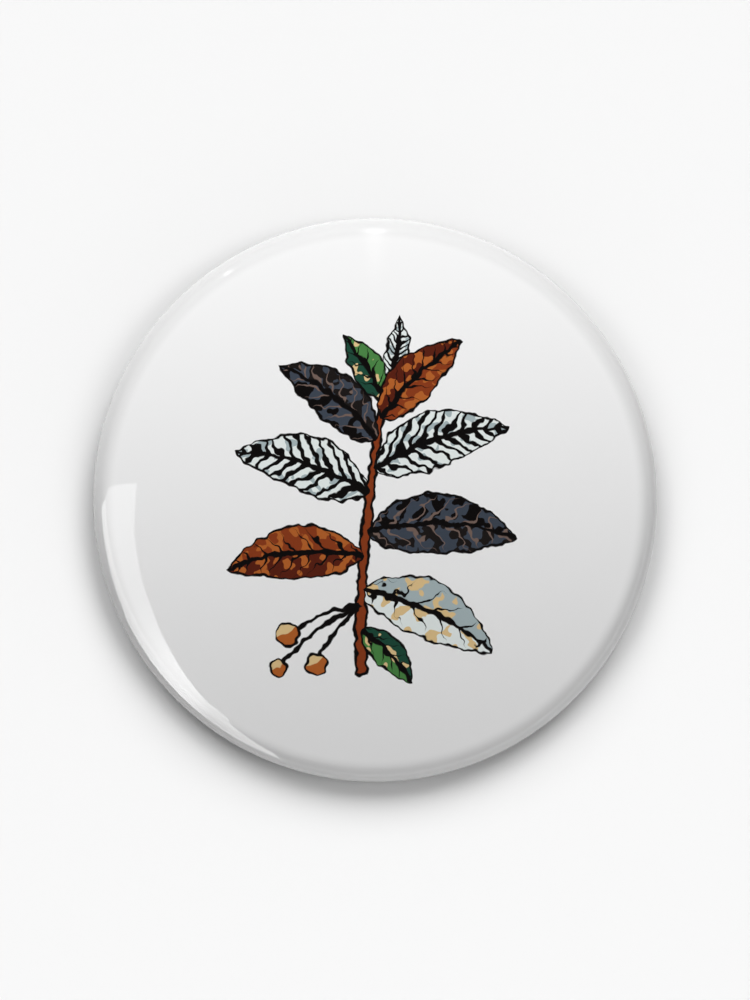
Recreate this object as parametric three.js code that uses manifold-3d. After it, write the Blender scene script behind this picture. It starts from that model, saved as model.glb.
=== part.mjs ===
// A round pin-back button badge, 58 mm across, lying on its back with its domed white face up.
// Millimetres, +Z up. The origin is on the floor under the middle of the badge, and the top of the
// printed face is towards +Y. Three thin layers (steel shell, printed paper, clear film) are curled
// together round the rim and under it. The curl grips the edge of a dished back plate, and a spring
// wire pin held under two stamped straps on that plate swings across it into a stamped catch.

import * as THREE from 'three';
import { mergeVertices } from 'three/addons/utils/BufferGeometryUtils.js';
import Module from 'manifold-3d';

const wasm = await Module();
wasm.setup();

// Face and rim
const BADGE_RADIUS = 29;
const DOME_RADIUS = 125;
const RIM_ROLL_RADIUS = 2.2;
const RIM_ROLL_Z = 1.35;
const CRIMP_RADIUS = 1.1;
const LIP_RADIUS = 0.9;
const RESTING_RING_WIDTH = 0.7;

// Layers, from the outside in
const FILM_THICKNESS = 0.12;
const PAPER_THICKNESS = 0.14;
const SHELL_THICKNESS = 0.25;
const FIT_GAP = 0.05;

// Back plate
const PLATE_THICKNESS = 0.25;
const FLOOR_Z = 2.9;
const FLOOR_RADIUS = 24;
const LEDGE_Z = 0.98;
const LEDGE_RADIUS = 25.5;
const FLANGE_RADIUS = 27.75;
const FLANGE_Z = 0.7;
const DISH_BEND_RADIUS = 0.6;
const FLANGE_BEND_RADIUS = 0.12;

// Spring wire pin
const WIRE_DIAMETER = 1;
const LOOP_CENTRE = new THREE.Vector2(-17.5, 3);
const LOOP_RADIUS = 2;
const LOOP_TURN = THREE.MathUtils.degToRad(270);
const LEG_LENGTH = 11.3;
const LEG_BEND_RADIUS = 1;
const LEG_HOOK_LENGTH = 1.2;
const ARM_LENGTH = 38;
const POINT_LENGTH = 4.5;
const POINT_RADIUS = 0.06;

// Straps stamped out of the plate over the pin's fixed leg
const STRAP_STARTS = [3.6, 7.6];
const STRAP_WIDTH = 2.2;
const STRAP_THICKNESS = 0.2;
const STRAP_HALF_TOP = 0.6;
const STRAP_HALF_SPAN = 1.6;
const STRAP_ROOT = 0.4;
const STRAP_BEND_RADIUS = 0.35;
const STRAP_ROOT_BEND_RADIUS = 0.2;

// Catch stamped out of the plate round the free end of the pin
const CATCH_WIDTH = 3.5;
const CATCH_FROM_POINT = 4.5;
const CATCH_BEND_RADIUS = 0.45;
const CATCH_MOUTH_REACH = 0.75;
const CATCH_MOUTH_BEND_RADIUS = 0.4;
const CATCH_FLARE = 0.13;
const CATCH_ROOT = 0.12;

// Facets
const RIM_FACETS = 60;
const WIRE_FACETS = 10;
const LEG_STEPS = 14;
const LOOP_STEPS = 20;
const SHEET_BEND_STEPS = 2;

// A quarter of a turn, in radians
const QUARTER = Math.PI / 2;
const WIRE_RADIUS = WIRE_DIAMETER / 2;

// Places that follow from the sizes above
const RIM_ROLL_CENTRE = BADGE_RADIUS - RIM_ROLL_RADIUS;
const CRIMP_CENTRE = BADGE_RADIUS - CRIMP_RADIUS;
const LIP_CENTRE = CRIMP_CENTRE - RESTING_RING_WIDTH;
const DOME_ANGLE = Math.asin(RIM_ROLL_CENTRE / (DOME_RADIUS - RIM_ROLL_RADIUS));
const DOME_CENTRE_Z = RIM_ROLL_Z - (DOME_RADIUS - RIM_ROLL_RADIUS) * Math.cos(DOME_ANGLE);

const PAPER_DEPTH = FILM_THICKNESS + FIT_GAP;
const SHELL_DEPTH = PAPER_DEPTH + PAPER_THICKNESS + FIT_GAP;

const LEG_Z = FLOOR_Z - FIT_GAP - WIRE_RADIUS;
const ARM_Z = LEG_Z - WIRE_DIAMETER - FIT_GAP;
const LEG_X = LOOP_CENTRE.x + LOOP_RADIUS;
const ARM_Y = LOOP_CENTRE.y + LOOP_RADIUS;
const STRAP_Z = LEG_Z - WIRE_RADIUS - FIT_GAP - STRAP_THICKNESS;
const CATCH_END_X = LOOP_CENTRE.x + ARM_LENGTH - CATCH_FROM_POINT;

// The outside of the badge in section is four bends in a row that all turn the same way: the shallow
// dome, the roll over the rim, the crimp under it and the lip that points back up into the badge.
// Angles are measured from straight up.
const SKIN_BENDS = [
  { r: 0, z: DOME_CENTRE_Z, radius: DOME_RADIUS, from: 0, to: DOME_ANGLE, steps: 5 },
  { r: RIM_ROLL_CENTRE, z: RIM_ROLL_Z, radius: RIM_ROLL_RADIUS, from: DOME_ANGLE, to: QUARTER, steps: 4 },
  { r: CRIMP_CENTRE, z: CRIMP_RADIUS, radius: CRIMP_RADIUS, from: QUARTER, to: 2 * QUARTER, steps: 3 },
  { r: LIP_CENTRE, z: LIP_RADIUS, radius: LIP_RADIUS, from: 2 * QUARTER, to: 3 * QUARTER, steps: 3 },
];

// The line of the skin's section at a depth under the outside, from the axis out to the lip's edge.
// The dome runs on into the rim roll, so their shared point is listed once.
function skinLine(depth) {
  const line = [];
  for (const bend of SKIN_BENDS) {
    const first = bend.from === DOME_ANGLE ? 1 : 0;
    for (let step = first; step <= bend.steps; step += 1) {
      const angle = bend.from + (bend.to - bend.from) * step / bend.steps;
      const radius = bend.radius - depth;
      line.push(new THREE.Vector2(bend.r + radius * Math.sin(angle), bend.z + radius * Math.cos(angle)));
    }
  }
  return line;
}

// A section turned round the badge's axis, which is +Z.
function turned(outline) {
  return new THREE.LatheGeometry(outline, RIM_FACETS).rotateX(QUARTER);
}

// One of the nested layers, between two depths.
function layer(depth, thickness) {
  return turned([...skinLine(depth + thickness), ...skinLine(depth).reverse()]);
}

// The closed outline of a bent sheet: the given line is one face, and the other lies to its left at
// the sheet's thickness, with mitred corners.
function sheetOutline(line, thickness) {
  const sides = line.slice(1).map((point, i) => {
    const along = point.clone().sub(line[i]).normalize();
    return new THREE.Vector2(-along.y, along.x);
  });
  const offset = line.map((point, i) => {
    const before = sides[Math.max(i - 1, 0)];
    const after = sides[Math.min(i, sides.length - 1)];
    const mitre = before.clone().add(after).multiplyScalar(thickness / (1 + before.dot(after)));
    return point.clone().add(mitre);
  });
  return [...line, ...offset.reverse()];
}

// A line through corners given as [a, b] or, where the line bends on an arc, [a, b, radius].
function bentLine(corners) {
  return corners.flatMap(([a, b, radius], i) => {
    const corner = new THREE.Vector2(a, b);
    if (!radius) {
      return [corner];
    }
    const [beforeA, beforeB] = corners[i - 1];
    const [afterA, afterB] = corners[i + 1];
    const before = corner.clone().sub(new THREE.Vector2(beforeA, beforeB)).normalize();
    const after = new THREE.Vector2(afterA, afterB).sub(corner).normalize();
    const turn = Math.atan2(before.cross(after), before.dot(after));
    const start = corner.clone().addScaledVector(before, -radius * Math.tan(Math.abs(turn) / 2));
    const inward = new THREE.Vector2(-before.y, before.x).multiplyScalar(Math.sign(turn));
    const centre = start.clone().addScaledVector(inward, radius);
    const arc = [];
    for (let step = 0; step <= SHEET_BEND_STEPS; step += 1) {
      arc.push(start.clone().rotateAround(centre, turn * step / SHEET_BEND_STEPS));
    }
    return arc;
  });
}

function extruded(outline, depth) {
  return new THREE.ExtrudeGeometry(new THREE.Shape(outline), { depth, bevelEnabled: false });
}

// A closed mesh as a solid for joining and cutting, and back again.
function solidOf(geometry) {
  const bare = geometry.clone();
  bare.deleteAttribute('normal');
  bare.deleteAttribute('uv');
  const merged = mergeVertices(bare);
  const index = [...merged.index.array];
  const triVerts = [];
  for (let i = 0; i < index.length; i += 3) {
    const [a, b, c] = index.slice(i, i + 3);
    if (a !== b && b !== c && c !== a) {
      triVerts.push(a, b, c);
    }
  }
  return new wasm.Manifold(new wasm.Mesh({
    numProp: 3,
    vertProperties: new Float32Array(merged.attributes.position.array),
    triVerts: new Uint32Array(triVerts),
  }));
}

function geometryOf(solid) {
  const mesh = solid.getMesh();
  const geometry = new THREE.BufferGeometry();
  geometry.setAttribute('position', new THREE.BufferAttribute(mesh.vertProperties, 3));
  geometry.setIndex(new THREE.BufferAttribute(mesh.triVerts, 1));
  geometry.computeVertexNormals();
  return geometry;
}

// A block through the plate's floor, which leaves a window where a strap or the catch is stamped out.
function windowBlock(x0, x1, y0, y1) {
  const block = new THREE.BoxGeometry(x1 - x0, y1 - y0, 4 * PLATE_THICKNESS);
  return solidOf(block.translate((x0 + x1) / 2, (y0 + y1) / 2, FLOOR_Z + PLATE_THICKNESS / 2));
}

// A strap bridges its window, hanging down round the leg, and is drawn thinner than the sheet.
function strap(y) {
  const rootZ = FLOOR_Z + (PLATE_THICKNESS - STRAP_THICKNESS) / 2;
  const line = bentLine([
    [-STRAP_HALF_SPAN - STRAP_ROOT, rootZ],
    [-STRAP_HALF_SPAN, rootZ, STRAP_ROOT_BEND_RADIUS],
    [-STRAP_HALF_TOP, STRAP_Z, STRAP_BEND_RADIUS],
    [STRAP_HALF_TOP, STRAP_Z, STRAP_BEND_RADIUS],
    [STRAP_HALF_SPAN, rootZ, STRAP_ROOT_BEND_RADIUS],
    [STRAP_HALF_SPAN + STRAP_ROOT, rootZ],
  ]);
  const band = extruded(sheetOutline(line, STRAP_THICKNESS), STRAP_WIDTH).rotateX(QUARTER);
  return solidOf(band.translate(LEG_X, y + STRAP_WIDTH, 0));
}

// The catch comes down beside the arm, turns under it and opens towards -Y with a flared mouth. Its
// line is the face that touches the wire.
function catchLine() {
  const wallY = ARM_Y + WIRE_RADIUS + FIT_GAP;
  const lipZ = ARM_Z - WIRE_RADIUS - FIT_GAP;
  const mouthY = ARM_Y - CATCH_MOUTH_REACH;
  return bentLine([
    [wallY, FLOOR_Z + CATCH_ROOT],
    [wallY, lipZ, CATCH_BEND_RADIUS],
    [mouthY, lipZ, CATCH_MOUTH_BEND_RADIUS],
    [mouthY - CATCH_FLARE * 2, lipZ - CATCH_FLARE],
  ]);
}

// Length of a line, which is the length of sheet that the catch takes out of the plate.
function lineLength(line) {
  return line.slice(1).reduce((sum, point, i) => sum + point.distanceTo(line[i]), 0);
}

function backPlate() {
  const section = bentLine([
    [0, FLOOR_Z],
    [FLOOR_RADIUS, FLOOR_Z, DISH_BEND_RADIUS],
    [LEDGE_RADIUS, LEDGE_Z, DISH_BEND_RADIUS],
    [FLANGE_RADIUS, LEDGE_Z, FLANGE_BEND_RADIUS],
    [FLANGE_RADIUS, FLANGE_Z],
  ]);
  let plate = solidOf(turned(sheetOutline(section, PLATE_THICKNESS)));
  for (const start of STRAP_STARTS) {
    const y = LOOP_CENTRE.y + start;
    plate = plate
      .subtract(windowBlock(LEG_X - STRAP_HALF_SPAN, LEG_X + STRAP_HALF_SPAN, y, y + STRAP_WIDTH))
      .add(strap(y));
  }

  const hook = catchLine();
  const hookBackY = hook[0].x + PLATE_THICKNESS;
  const toYZ = new THREE.Matrix4().makeBasis(
    new THREE.Vector3(0, 1, 0), new THREE.Vector3(0, 0, 1), new THREE.Vector3(1, 0, 0));
  const hookBody = extruded(sheetOutline(hook, PLATE_THICKNESS), CATCH_WIDTH)
    .applyMatrix4(toYZ)
    .translate(CATCH_END_X - CATCH_WIDTH, 0, 0);
  plate = plate
    .subtract(windowBlock(CATCH_END_X - CATCH_WIDTH, CATCH_END_X,
      hookBackY + CATCH_ROOT, hookBackY + lineLength(hook)))
    .add(solidOf(hookBody));
  return geometryOf(plate);
}

// The section of the wire, as a polygon.
function wireSection() {
  const corners = [];
  for (let i = 0; i < WIRE_FACETS; i += 1) {
    const angle = 2 * Math.PI * (i + 0.5) / WIRE_FACETS;
    corners.push(new THREE.Vector2(WIRE_RADIUS * Math.cos(angle), WIRE_RADIUS * Math.sin(angle)));
  }
  return new THREE.Shape(corners);
}

function wireAlong(path, steps) {
  return new THREE.ExtrudeGeometry(wireSection(), { steps, extrudePath: path });
}

// The fixed leg runs up under the straps and ends in a short hook that stops it sliding out.
function pinLeg() {
  const start = new THREE.Vector3(LEG_X, LOOP_CENTRE.y + FIT_GAP, LEG_Z);
  const corner = new THREE.Vector3(LEG_X, LOOP_CENTRE.y + LEG_LENGTH, LEG_Z);
  const bendStart = corner.clone().setY(corner.y - LEG_BEND_RADIUS);
  const bendEnd = corner.clone().setX(corner.x - LEG_BEND_RADIUS);
  const path = new THREE.CurvePath();
  path.add(new THREE.LineCurve3(start, bendStart));
  path.add(new THREE.QuadraticBezierCurve3(bendStart, corner, bendEnd));
  path.add(new THREE.LineCurve3(bendEnd, bendEnd.clone().setX(bendEnd.x - LEG_HOOK_LENGTH)));
  return wireAlong(path, LEG_STEPS);
}

// Three quarters of a turn of wire, clockwise from the leg round to the arm. It drops by one wire so
// that the arm crosses under the leg, and it is level where it meets either of them.
class LoopCurve extends THREE.Curve {
  getPoint(t, target = new THREE.Vector3()) {
    const angle = -LOOP_TURN * t;
    return target.set(
      LOOP_CENTRE.x + LOOP_RADIUS * Math.cos(angle),
      LOOP_CENTRE.y + LOOP_RADIUS * Math.sin(angle),
      THREE.MathUtils.lerp(LEG_Z, ARM_Z, THREE.MathUtils.smoothstep(t, 0, 1)),
    );
  }
}

// The free arm with its ground point, lying along +X from the end of the loop.
function pinArm() {
  const outline = bentLine([
    [0, FIT_GAP],
    [WIRE_RADIUS, FIT_GAP],
    [WIRE_RADIUS, ARM_LENGTH - POINT_LENGTH],
    [POINT_RADIUS, ARM_LENGTH],
    [0, ARM_LENGTH],
  ]);
  return new THREE.LatheGeometry(outline, WIRE_FACETS).rotateZ(-QUARTER);
}

const film = new THREE.MeshStandardMaterial({ color: 0xf2f2f2, roughness: 0.12, metalness: 0 });
const paper = new THREE.MeshStandardMaterial({ color: 0xfafafa, roughness: 0.8, metalness: 0 });
const tinplate = new THREE.MeshStandardMaterial({ color: 0xb9bcc0, roughness: 0.35, metalness: 1 });
const wire = new THREE.MeshStandardMaterial({ color: 0xd4d5d6, roughness: 0.2, metalness: 1 });

function part(name, geometry, material) {
  const mesh = new THREE.Mesh(geometry, material);
  mesh.name = name;
  return mesh;
}

const badge = new THREE.Group();
badge.add(part('clear_film', layer(0, FILM_THICKNESS), film));
badge.add(part('printed_paper', layer(PAPER_DEPTH, PAPER_THICKNESS), paper));
badge.add(part('front_shell', layer(SHELL_DEPTH, SHELL_THICKNESS), tinplate));
badge.add(part('back_plate', backPlate(), tinplate));
badge.add(part('pin_leg', pinLeg(), wire));
badge.add(part('pin_loop', wireAlong(new LoopCurve(), LOOP_STEPS), wire));

// The arm swings about the upright axis through the middle of the loop.
const swing = new THREE.Group();
swing.position.set(LOOP_CENTRE.x, LOOP_CENTRE.y, ARM_Z);
const arm = part('pin_arm', pinArm(), wire);
arm.position.y = LOOP_RADIUS;
swing.add(arm);
badge.add(swing);

export default badge;
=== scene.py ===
# %% [markdown]
# # A round pin-back button badge
#
# A button badge is a sandwich: a domed steel shell, a printed paper disc and a clear film, pressed
# together so that all three curl under the rim, where they grip a dished tinplate back with a sprung
# wire pin. It lies on its back on a pale table, and the camera looks straight down on it. The packed
# solids give the sizes, and this script makes the fine surface of every piece.

# %% Load the frame
import math

import bpy
import bmesh
from mathutils import Matrix, Vector, geometry


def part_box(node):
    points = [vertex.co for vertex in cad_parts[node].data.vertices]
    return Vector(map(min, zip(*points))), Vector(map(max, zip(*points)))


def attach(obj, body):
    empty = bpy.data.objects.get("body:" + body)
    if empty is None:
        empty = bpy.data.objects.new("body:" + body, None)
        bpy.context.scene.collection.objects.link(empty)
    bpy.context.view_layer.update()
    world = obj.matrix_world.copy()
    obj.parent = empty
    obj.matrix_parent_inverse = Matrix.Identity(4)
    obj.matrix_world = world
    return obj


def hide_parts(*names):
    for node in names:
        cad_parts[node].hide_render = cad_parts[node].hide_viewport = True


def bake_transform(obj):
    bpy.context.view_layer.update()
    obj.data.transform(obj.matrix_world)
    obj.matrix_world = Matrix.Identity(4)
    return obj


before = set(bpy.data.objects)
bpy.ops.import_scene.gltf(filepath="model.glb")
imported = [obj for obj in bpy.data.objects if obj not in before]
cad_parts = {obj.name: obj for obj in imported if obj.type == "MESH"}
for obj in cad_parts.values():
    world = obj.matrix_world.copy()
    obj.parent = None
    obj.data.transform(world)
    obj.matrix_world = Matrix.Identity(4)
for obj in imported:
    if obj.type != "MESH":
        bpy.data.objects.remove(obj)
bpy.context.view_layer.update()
MM = 0.001
print("nodes:", ", ".join(sorted(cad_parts)))

# %% [markdown]
# The camera comes first, because everything else is judged through it. A product photograph of a
# badge is taken from straight above with a long lens, which shows the rim as a true circle. The
# badge is in the middle of the picture, and its size there gives the distance of the camera.

# %% Camera
PICTURE_HEIGHT = 1000
BADGE_RADIUS_PX = 282
LENS = 135
SENSOR = 36
NEAREST_SEEN = 10 * MM
WIDEST_HEIGHT = 1.6 * MM

badge_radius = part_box("clear_film")[1].x
pixels_per_unit = LENS / SENSOR * PICTURE_HEIGHT
camera_height = badge_radius * pixels_per_unit / BADGE_RADIUS_PX

camera_data = bpy.data.cameras.new("camera")
camera_data.lens = LENS
camera_data.sensor_width = SENSOR
camera_data.clip_start = NEAREST_SEEN
camera = bpy.data.objects.new("camera", camera_data)
metres_per_px = camera_height / pixels_per_unit
camera.location.z = camera_height + WIDEST_HEIGHT
bpy.context.collection.objects.link(camera)
bpy.context.scene.camera = camera
bpy.context.scene.view_settings.view_transform = "Standard"
print(f"camera {camera_height / MM:.0f} mm up, {metres_per_px / MM:.3f} mm to a pixel")

# %% [markdown]
# Node trees are easier to read as sums than as lists of boxes and wires. `Number` wraps a socket, so
# that `1 - mask * 0.5` adds the Math nodes that work it out. Colours, vectors and geometry are only
# carried, because Math nodes would turn a colour grey. Any other node comes from the method `add`.

# %% Sums that build node trees
class Link:
    """What a socket carries: a colour, a vector, a shader or a geometry."""

    def __init__(self, tree, socket):
        self.tree = tree
        self.socket = socket


def operator(operation, reflected=False):
    """The method behind an operator. Reflected, it has the socket's own number second."""
    def method(self, other):
        pair = (other, self) if reflected else (self, other)
        return self.tree.math(operation, *pair)
    return method


class Number(Link):
    """A number carried by a socket. Arithmetic on it adds Math nodes."""

    __add__ = operator("ADD")
    __radd__ = operator("ADD", reflected=True)
    __sub__ = operator("SUBTRACT")
    __rsub__ = operator("SUBTRACT", reflected=True)
    __mul__ = operator("MULTIPLY")
    __rmul__ = operator("MULTIPLY", reflected=True)
    __truediv__ = operator("DIVIDE")
    __rtruediv__ = operator("DIVIDE", reflected=True)
    __pow__ = operator("POWER")
    __mod__ = operator("MODULO")
    __gt__ = operator("GREATER_THAN")

    def math(self, operation, *others, clamp=False):
        return self.tree.math(operation, self, *others, clamp=clamp)

    def __neg__(self):
        return self.math("MULTIPLY", -1)

    def __abs__(self):
        return self.math("ABSOLUTE")

    def scaled(self, by, plus, clamp=False):
        """Multiplied and added to in one node, and held between 0 and 1 if wanted."""
        return self.math("MULTIPLY_ADD", by, plus, clamp=clamp)

    def smaller(self, other):
        return self.math("MINIMUM", other)

    def clamped(self):
        return self.math("ADD", 0, clamp=True)

    def eased(self):
        """From 0 to 1 like itself, but level at both ends."""
        held = self.clamped()
        return held * held * (3 - 2 * held)


def sine(value):
    return value.math("SINE") if isinstance(value, Number) else math.sin(value)


def cosine(value):
    return value.math("COSINE") if isinstance(value, Number) else math.cos(value)


class Tree:
    """A node tree that grows as it is described."""

    def __init__(self, group):
        self.group = group

    def add(self, kind, inputs=None, **settings):
        """Adds any node. Gives a function that hands out its outputs by name or number."""
        node = self.group.nodes.new(kind)
        for name, value in settings.items():
            setattr(node, name, value)
        self.feed(node, inputs or {})
        return lambda key=0: self.carried(self.find(node.outputs, key))

    def feed(self, node, inputs):
        """Sets or links inputs of a node."""
        for key, value in inputs.items():
            socket = self.find(node.inputs, key)
            if isinstance(value, Link):
                self.group.links.new(value.socket, socket)
            else:
                socket.default_value = value

    def find(self, sockets, key):
        if isinstance(key, int):
            return sockets[key]
        return next(s for s in sockets if key in (s.identifier, s.name))

    def carried(self, socket):
        return (Number if socket.type in ("VALUE", "INT") else Link)(self, socket)

    def math(self, operation, *values, clamp=False):
        inputs = dict(enumerate(values))
        return self.add("ShaderNodeMath", inputs, operation=operation, use_clamp=clamp)()

    def mix(self, mask, under, over):
        """One colour where the mask is 0 and another where it is 1."""
        inputs = {"Factor_Float": mask, "A_Color": under, "B_Color": over}
        return self.add("ShaderNodeMix", inputs, data_type="RGBA")("Result_Color")

    def vector(self, x, y, z):
        return self.add("ShaderNodeCombineXYZ", {"X": x, "Y": y, "Z": z})()

    def vector_sum(self, vector, by, plus):
        """A vector times a vector, plus a third one."""
        inputs = {0: vector, 1: by, 2: plus}
        return self.add("ShaderNodeVectorMath", inputs, operation="MULTIPLY_ADD")()

    def parts(self, vector):
        """The x, y and z numbers of a vector."""
        split = self.add("ShaderNodeSeparateXYZ", {"Vector": vector})
        return split("X"), split("Y"), split("Z")

    def position(self):
        """Object coordinates, in metres."""
        return self.add("ShaderNodeTexCoord")("Object")

    def noise(self, place, scale, detail=2.0):
        """Soft noise from 0 to 1."""
        inputs = {"Vector": place, "Scale": scale, "Detail": detail}
        return self.add("ShaderNodeTexNoise", inputs)("Fac")

    def bump(self, height, strength, distance):
        """A Normal that makes a height catch the light."""
        inputs = {"Height": height, "Strength": strength, "Distance": distance}
        return self.add("ShaderNodeBump", inputs)()


def linear(code):
    """A colour code as the linear numbers that a shader takes."""
    parts = [int(code[i:i + 2], 16) / 255 for i in (1, 3, 5)]
    return (*[p / 12.92 if p <= 0.04045 else ((p + 0.055) / 1.055) ** 2.4 for p in parts], 1)


def pointing(degrees):
    """The direction in plan that a turn in degrees gives."""
    return Vector((math.cos(math.radians(degrees)), math.sin(math.radians(degrees))))


print("white is", linear("#ffffff"))

# %% [markdown]
# Geometry Nodes trees also need named inputs, so that sizes can be set from outside, and a way to
# keep what they make. A finished piece is a plain mesh, so the result is taken from the evaluated
# object and the modifier goes.

# %% Geometry trees and their results
class ShapeTree(Tree):
    """A Geometry Nodes tree with named inputs."""

    def __init__(self, name):
        super().__init__(bpy.data.node_groups.new(name, "GeometryNodeTree"))
        self.group.interface.new_socket("Geometry", in_out="OUTPUT", socket_type="NodeSocketGeometry")
        self.entry = self.group.nodes.new("NodeGroupInput")

    def take(self, name, value):
        """A named input with its usual value. A whole number makes a whole-number input."""
        kind = "NodeSocketInt" if isinstance(value, int) else "NodeSocketFloat"
        self.group.interface.new_socket(name, in_out="INPUT", socket_type=kind).default_value = value
        return self.carried(self.entry.outputs[name])

    def on_domain(self, value, domain, kind="FLOAT"):
        """A value worked out once for each point or face."""
        return self.add("GeometryNodeFieldOnDomain", {0: value}, domain=domain, data_type=kind)()

    def index(self, domain):
        """The number of each point or face."""
        return self.on_domain(self.add("GeometryNodeInputIndex")(), domain)

    def finish(self, shape, material):
        """Ends the tree: smooth faces, real geometry and a material."""
        smooth = self.add("GeometryNodeSetShadeSmooth", {"Geometry": shape})()
        real = self.add("GeometryNodeRealizeInstances", {"Geometry": smooth})()
        dressed = self.add("GeometryNodeSetMaterial", {"Geometry": real, "Material": material})()
        self.feed(self.group.nodes.new("NodeGroupOutput"), {"Geometry": dressed})


def piece(name, data):
    """A new object in the scene, for a mesh or a light."""
    made = bpy.data.objects.new(name, data)
    bpy.context.collection.objects.link(made)
    return made


def settled(made):
    """Turns what a piece's modifiers make into its own plain mesh, and measures it."""
    depsgraph = bpy.context.evaluated_depsgraph_get()
    depsgraph.update()
    mesh = bpy.data.meshes.new_from_object(made.evaluated_get(depsgraph))
    made.modifiers.clear()
    made.data = mesh
    mesh.name = made.name
    triangles = sum(len(face.vertices) - 2 for face in mesh.polygons)
    sides = [[vertex.co[i] / MM for vertex in mesh.vertices] for i in range(3)]
    low, high = ([round(pick(side), 2) for side in sides] for pick in (min, max))
    print(f"{made.name}: {triangles} triangles, from {low} to {high} mm")
    return made


def grown(name, tree, sizes):
    """The piece that a tree makes, with some of its named inputs set."""
    made = piece(name, bpy.data.meshes.new(name))
    modifier = made.modifiers.new("shape", "NODES")
    modifier.node_group = tree.group
    for entry in tree.group.interface.items_tree:
        if entry.in_out == "INPUT" and entry.name in sizes:
            modifier[entry.identifier] = sizes[entry.name]
    return settled(made)


def follow(tree, along, stretches, inset=0):
    """Where a distance along a chain of straights and bends comes to.

    Each of them adds its own part, held at its end once the distance is past it. A positive turn is
    towards `aside`, and an inset makes a parallel chain on that side. Gives forward, aside, the
    heading and each one's share of travel."""
    forward, aside, heading, bent, start = 0, inset, 0, 0, 0
    shares = {}
    for label, sizes in stretches.items():
        if "angle" in sizes:
            radius = tree.take(label + " radius", sizes["radius"])
            angle = tree.take(label + " angle", sizes["angle"])
            length = radius * abs(angle)
            share = ((along - start) / length).clamped()
            facing = heading + angle * share
            bow = radius * angle.math("SIGN") - inset
            forward = forward + bow * (sine(facing) - sine(heading))
            aside = aside + bow * (cosine(heading) - cosine(facing))
            bent = bent + angle * share
            heading = heading + angle
        else:
            length = tree.take(label + " length", sizes["length"])
            share = ((along - start) / length).clamped()
            forward = forward + length * share * cosine(heading)
            aside = aside + length * share * sine(heading)
        shares[label] = share
        start = start + length
    return forward, aside, bent, shares


print("shape helpers ready")

# %% [markdown]
# The outside of a badge in section is a chain of bends that all turn the same way: the shallow dome,
# the roll over the rim, the crimp under it, the ring it rests on, and the lip that points back up
# inside. A layer that lies deeper has the same chain with smaller radii, so film, paper and steel
# nest exactly, and one description serves them all.

# %% The section of the rim
DOME_RADIUS = 125 * MM
RIM_ROLL = 2.2 * MM
RIM_ROLL_HEIGHT = 1.35 * MM
CRIMP_RADIUS = 1.1 * MM
LIP_RADIUS = 0.9 * MM
RESTING_RING = 0.7 * MM
FILM_AND_PAPER = 0.31 * MM
SHELL_DEPTH = 0.36 * MM
SHELL_THICKNESS = 0.25 * MM
QUARTER = math.pi / 2

rim_centre = badge_radius - RIM_ROLL
dome_angle = math.asin(rim_centre / (DOME_RADIUS - RIM_ROLL))
dome_drop = (DOME_RADIUS - RIM_ROLL) * (1 - math.cos(dome_angle))
badge_height = RIM_ROLL_HEIGHT + RIM_ROLL + dome_drop

SECTION = {
    "Dome": {"radius": DOME_RADIUS, "angle": dome_angle, "rows": 18},
    "Rim roll": {"radius": RIM_ROLL, "angle": QUARTER - dome_angle, "rows": 12},
    "Wall": {"length": RIM_ROLL_HEIGHT - CRIMP_RADIUS, "rows": 1},
    "Crimp": {"radius": CRIMP_RADIUS, "angle": QUARTER, "rows": 12},
    "Resting ring": {"length": RESTING_RING, "rows": 2},
    "Lip": {"radius": LIP_RADIUS, "angle": QUARTER, "rows": 8},
}


def travel(sizes):
    """How long a straight or a bend of a chain is."""
    return sizes["length"] if "length" in sizes else sizes["radius"] * abs(sizes["angle"])


flat_radius = sum(travel(sizes) for sizes in SECTION.values())
rows = sum(sizes["rows"] for sizes in SECTION.values())
print(f"height {badge_height / MM:.2f} mm, flat disc {2 * flat_radius / MM:.1f} mm across")

# %% [markdown]
# A press bends the outer part of a flat disc down and under, and this tree does the same. Its grid
# has columns round the badge and rows that go out along the outer face and back along the inner one.
# Each row follows the chain of bends by its distance on the flat disc. That flat place is kept as the
# UV map, so the print bends over the rim as the paper does. The dome's rows crowd towards the rim,
# because shading blended over a wide row would start the bend too early in the reflections.
#
# A flat disc has too much edge for the smaller ring it ends in, so film and paper fold into fine
# pleats under the rim. They are real grooves here, and a noise makes each one different.

# %% The pressing tree
UV_NAME = "OFBake"
UV_REACH = 0.475
UV_INNER_PLACE = 0.085
UV_INNER_REACH = 0.07
ROWS_CROWD = 0.75
PLEAT_WANDER = 2.4
PLEAT_WANDER_SCALE = 9.0
PLEAT_WEIGHT_SCALE = 23.0
PLEAT_SHARPNESS = 3
PLEAT_LEAST = 0.35
PLEAT_CHANGE = 1.3
SEAM = 0.001 * MM


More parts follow.
